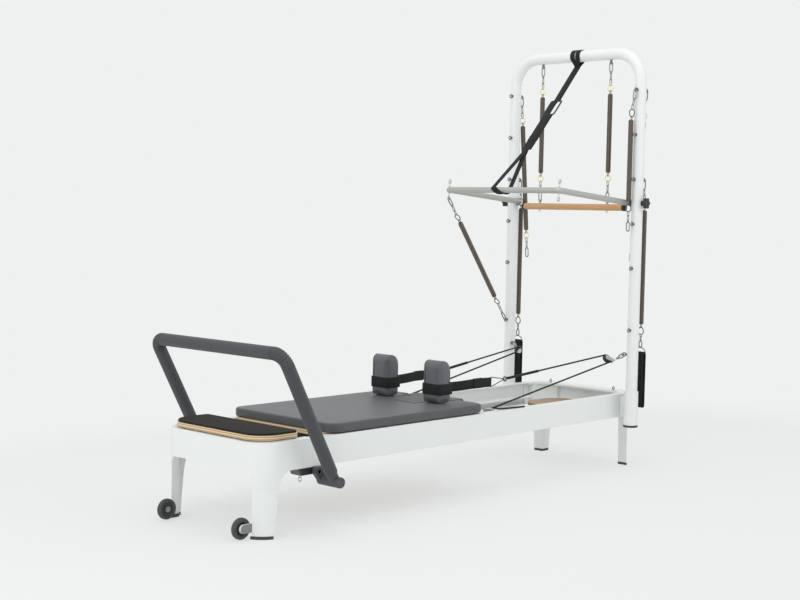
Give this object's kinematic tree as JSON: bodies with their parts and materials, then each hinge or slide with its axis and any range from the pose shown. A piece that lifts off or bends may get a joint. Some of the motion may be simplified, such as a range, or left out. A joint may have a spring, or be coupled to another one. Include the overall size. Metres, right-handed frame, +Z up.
{
  "type": "pilates reformer with tower",
  "caption": "Pilates reformer with a white frame, sliding padded carriage, folding footbar and a bent tube tower that carries a push-through bar, a roll-down bar and hanging springs.",
  "frame": {"origin": "on the floor under the middle of the overall box", "axes": "+X from the footbar to the tower, +Y to the left of a user who lies with the head at the tower end and looks up, +Z up"},
  "size_m": [2.5556, 0.8876, 2.0618],
  "materials": {
    "frame_white": "satin white powder coat",
    "black_rubber": "matt",
    "black_plastic": "matt moulded",
    "plywood": "clear satin lacquer on birch ply",
    "bar_wood": "satin lacquer on turned hardwood",
    "grip_rubber": "rough grip mat",
    "vinyl": "soft grey upholstery vinyl",
    "footbar_grey": "dark grey satin paint",
    "footbar_foam": "dense foam sleeve",
    "steel": "zinc plated",
    "spring_wire": "close-wound spring wire with plated rings",
    "bar_aluminium": "brushed",
    "webbing": "woven nylon webbing and cord"
  },
  "bodies": {
    "frame": {"foot_end_casting": "frame_white", "head_end_casting": "frame_white", "side_rail_left": "frame_white", "side_rail_right": "frame_white", "foot_pad_front_left": "black_rubber", "foot_pad_front_right": "black_rubber", "foot_pad_back_left": "black_rubber", "foot_pad_back_right": "black_rubber", "standing_platform": "plywood", "platform_grip_pad": "grip_rubber", "spring_bar": "steel", "head_shelf": "plywood", "tower_frame": "frame_white", "post_socket_left": "frame_white", "post_socket_right": "frame_white", "pulley_block_left": "steel", "pulley_block_right": "steel", "rope_left": "webbing", "rope_right": "webbing", "safety_strap": "webbing", "push_bar_spring": "spring_wire", "carriage_spring_1": "steel", "carriage_spring_2": "steel", "carriage_spring_3": "steel", "carriage_spring_4": "steel", "carriage_spring_5": "steel"},
    "footbar_carrier": {"footbar_carrier": "black_plastic"},
    "footbar": {"footbar_frame": "footbar_grey", "footbar_top_pad": "footbar_foam", "footbar_arm_pad_left": "footbar_foam", "footbar_arm_pad_right": "footbar_foam"},
    "carriage": {"carriage_board": "plywood", "carriage_chassis": "steel", "mattress": "vinyl", "shoulder_rest_left": "vinyl", "shoulder_rest_right": "vinyl", "hand_strap_left": "webbing", "hand_strap_right": "webbing"},
    "headrest": {"headrest": "vinyl"},
    "roller_axle_front": {"roller_axle_front": "black_rubber"},
    "roller_axle_back": {"roller_axle_back": "black_rubber"},
    "push_through_bar": {"push_through_bar": "bar_aluminium"},
    "roll_down_bar": {"roll_down_bar": "bar_wood", "roll_down_spring_left": "spring_wire", "roll_down_spring_right": "spring_wire"},
    "spare_bar_spring": {"spare_bar_spring": "spring_wire"},
    "transport_wheel_left": {"transport_wheel_left": "black_rubber"},
    "pulley_sheave_left": {"pulley_sheave_left": "black_plastic"},
    "lock_ring_left": {"lock_ring_left": "steel"},
    "pivot_knob_left": {"pivot_knob_left": "black_plastic"},
    "arm_spring_left": {"arm_spring_left": "spring_wire"},
    "leg_spring_left": {"leg_spring_left": "spring_wire"},
    "leg_strap_left": {"leg_strap_left": "webbing"},
    "transport_wheel_right": {"transport_wheel_right": "black_rubber"},
    "pulley_sheave_right": {"pulley_sheave_right": "black_plastic"},
    "lock_ring_right": {"lock_ring_right": "steel"},
    "pivot_knob_right": {"pivot_knob_right": "black_plastic"},
    "arm_spring_right": {"arm_spring_right": "spring_wire"},
    "leg_spring_right": {"leg_spring_right": "spring_wire"},
    "leg_strap_right": {"leg_strap_right": "webbing"}
  },
  "joints": [
    {"name": "carriage_slide", "type": "slide", "parent": "frame", "child": "carriage", "axis": [1, 0, 0], "range_m": [0, 0.9], "stiffness_N_per_m": 300, "springref_m": -0.08, "deforming": ["carriage_spring_1", "carriage_spring_2", "carriage_spring_3", "carriage_spring_4", "carriage_spring_5", "rope_left", "rope_right"]},
    {"name": "headrest_tilt", "type": "hinge", "parent": "carriage", "child": "headrest", "pos_m": [-0.149, 0, 0.41], "axis": [0, -1, 0], "range_deg": [0, 30]},
    {"name": "roller_front_spin", "type": "hinge", "parent": "carriage", "child": "roller_axle_front", "pos_m": [-0.75725, 0, 0.3263], "axis": [0, 1, 0], "continuous": true},
    {"name": "roller_back_spin", "type": "hinge", "parent": "carriage", "child": "roller_axle_back", "pos_m": [-0.04725, 0, 0.3263], "axis": [0, 1, 0], "continuous": true},
    {"name": "footbar_carrier_slide", "type": "slide", "parent": "frame", "child": "footbar_carrier", "axis": [1, 0, 0], "range_m": [0, 0.15]},
    {"name": "footbar_tilt", "type": "hinge", "parent": "footbar_carrier", "child": "footbar", "pos_m": [-0.93225, 0, 0.238], "axis": [0, 1, 0], "range_deg": [-48, 28]},
    {"name": "push_bar_swing", "type": "hinge", "parent": "frame", "child": "push_through_bar", "pos_m": [1.09475, 0, 1.305], "axis": [0, 1, 0], "range_deg": [0, 55], "deforming": ["push_bar_spring", "safety_strap"]},
    {"name": "roll_bar_swing", "type": "hinge", "parent": "frame", "child": "roll_down_bar", "pos_m": [1.09475, 0, 1.99], "axis": [0, 1, 0], "range_deg": [-20, 20]},
    {"name": "spare_spring_swing", "type": "hinge", "parent": "frame", "child": "spare_bar_spring", "pos_m": [1.05475, -0.3835, 1.848], "axis": [0, 1, 0], "range_deg": [0, 20]},
    {"name": "transport_wheel_left_spin", "type": "hinge", "parent": "frame", "child": "transport_wheel_left", "pos_m": [-1.23625, 0.228, 0.044], "axis": [0, 1, 0], "continuous": true},
    {"name": "pulley_sheave_left_spin", "type": "hinge", "parent": "frame", "child": "pulley_sheave_left", "pos_m": [1.03275, 0.277, 0.545], "axis": [0.1407, -0.7658, -0.6275], "continuous": true},
    {"name": "lock_ring_left_pull", "type": "slide", "parent": "footbar_carrier", "child": "lock_ring_left", "axis": [0, 0, -1], "range_m": [0, 0.008], "stiffness_N_per_m": 600, "springref_m": -0.006},
    {"name": "pivot_knob_left_turn", "type": "hinge", "parent": "frame", "child": "pivot_knob_left", "pos_m": [1.09475, 0.3835, 1.305], "axis": [0, 1, 0], "continuous": true},
    {"name": "arm_spring_left_swing", "type": "hinge", "parent": "frame", "child": "arm_spring_left", "pos_m": [1.14475, 0.3835, 1.84], "axis": [-1, 0, 0], "range_deg": [0, 15]},
    {"name": "leg_spring_left_swing", "type": "hinge", "parent": "frame", "child": "leg_spring_left", "pos_m": [1.14475, 0.3835, 1.419], "axis": [0, -1, 0], "range_deg": [0, 20]},
    {"name": "leg_strap_left_swing", "type": "hinge", "parent": "leg_spring_left", "child": "leg_strap_left", "pos_m": [1.16075, 0.3835, 0.5756], "axis": [0, -1, 0], "range_deg": [0, 30]},
    {"name": "transport_wheel_right_spin", "type": "hinge", "parent": "frame", "child": "transport_wheel_right", "pos_m": [-1.23625, -0.228, 0.044], "axis": [0, 1, 0], "continuous": true},
    {"name": "pulley_sheave_right_spin", "type": "hinge", "parent": "frame", "child": "pulley_sheave_right", "pos_m": [1.03275, -0.277, 0.545], "axis": [-0.1407, -0.7658, 0.6275], "continuous": true},
    {"name": "lock_ring_right_pull", "type": "slide", "parent": "footbar_carrier", "child": "lock_ring_right", "axis": [0, 0, -1], "range_m": [0, 0.008], "stiffness_N_per_m": 600, "springref_m": -0.006},
    {"name": "pivot_knob_right_turn", "type": "hinge", "parent": "frame", "child": "pivot_knob_right", "pos_m": [1.09475, -0.3835, 1.305], "axis": [0, 1, 0], "continuous": true},
    {"name": "arm_spring_right_swing", "type": "hinge", "parent": "frame", "child": "arm_spring_right", "pos_m": [1.14475, -0.3835, 1.84], "axis": [1, 0, 0], "range_deg": [0, 15]},
    {"name": "leg_spring_right_swing", "type": "hinge", "parent": "frame", "child": "leg_spring_right", "pos_m": [1.14475, -0.3835, 1.419], "axis": [0, -1, 0], "range_deg": [0, 20]},
    {"name": "leg_strap_right_swing", "type": "hinge", "parent": "leg_spring_right", "child": "leg_strap_right", "pos_m": [1.16075, -0.3835, 0.5756], "axis": [0, -1, 0], "range_deg": [0, 30]}
  ],
  "couplings": [
    {"joint": "roller_front_spin", "follows": "carriage_slide", "rad_per_m": 38.462},
    {"joint": "roller_back_spin", "follows": "carriage_slide", "rad_per_m": 38.462}
  ]
}
